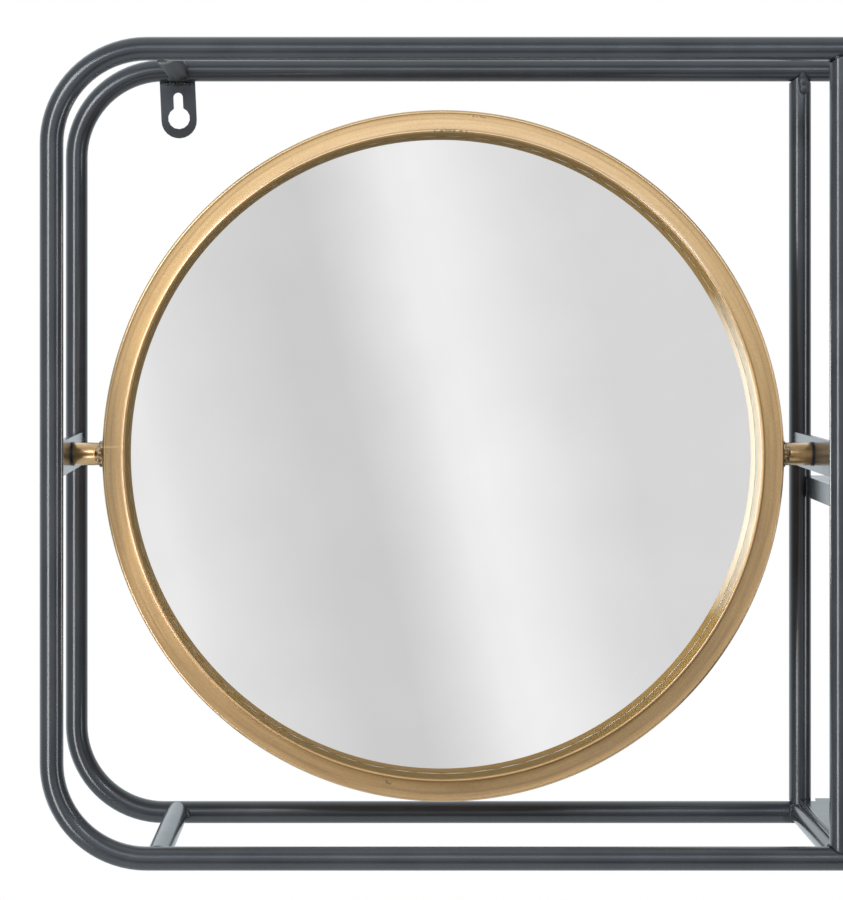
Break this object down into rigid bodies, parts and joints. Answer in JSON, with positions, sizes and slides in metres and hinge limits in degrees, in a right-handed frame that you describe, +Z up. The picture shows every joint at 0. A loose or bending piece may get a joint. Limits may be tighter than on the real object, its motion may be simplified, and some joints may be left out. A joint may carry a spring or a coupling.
{
  "type": "wall rack with tilting mirror",
  "caption": "Wall rack of bent round steel tube with a round gold-rimmed mirror that tilts on side pivots, and sheet metal shelves beside it.",
  "frame": {"origin": "on the wall plane, midway between the two hanging screws, at the height of the round tops of the keyhole slots", "axes": "+X to the right as seen from the front, +Y back to the wall, +Z up"},
  "size_m": [0.65, 0.14, 0.42],
  "materials": {
    "rack_paint": "dark slate grey stoving enamel on steel, satin to semi-gloss",
    "gold_paint": "satin metallic gold paint on steel, hand brushed round the ring",
    "silvered_glass": "polished silvered float glass",
    "hardboard": "plain brown hardboard",
    "foam_tape": "closed cell foam tape",
    "washer_nylon": "black nylon",
    "zinc_plate": "bright zinc plated steel"
  },
  "bodies": {
    "rack": {"front_loop_tube": "rack_paint", "rear_loop_tube": "rack_paint", "front_upright": "rack_paint", "rear_upright": "rack_paint", "cross_tube_top_left": "rack_paint", "cross_tube_top_right": "rack_paint", "cross_tube_bottom_left": "rack_paint", "cross_tube_bottom_right": "rack_paint", "cross_tube_bottom_middle": "rack_paint", "middle_shelf": "rack_paint", "bottom_shelf": "rack_paint", "hanger_left": "rack_paint", "hanger_right": "rack_paint", "pivot_bar_left": "rack_paint", "pivot_bar_right": "rack_paint"},
    "mirror": {"pivot_stub_left": "gold_paint", "pivot_stub_right": "gold_paint", "friction_washer_left": "washer_nylon", "friction_washer_right": "washer_nylon", "spring_washer_left": "zinc_plate", "spring_washer_right": "zinc_plate", "pivot_screw_left": "zinc_plate", "pivot_screw_right": "zinc_plate", "mirror_ring": "gold_paint", "glazing_tape": "foam_tape", "mirror_glass": "silvered_glass", "backing_board": "hardboard", "board_clip_1": "zinc_plate", "board_clip_2": "zinc_plate", "board_clip_3": "zinc_plate", "board_clip_4": "zinc_plate", "board_clip_5": "zinc_plate", "board_clip_6": "zinc_plate", "clip_screw_1": "zinc_plate", "clip_screw_2": "zinc_plate", "clip_screw_3": "zinc_plate", "clip_screw_4": "zinc_plate", "clip_screw_5": "zinc_plate", "clip_screw_6": "zinc_plate"}
  },
  "joints": [
    {"name": "mirror_tilt", "type": "hinge", "parent": "rack", "child": "mirror", "pos_m": [-0.12, -0.07, -0.1931], "axis": [1, 0, 0], "range_deg": [-15, 18.5]}
  ]
}
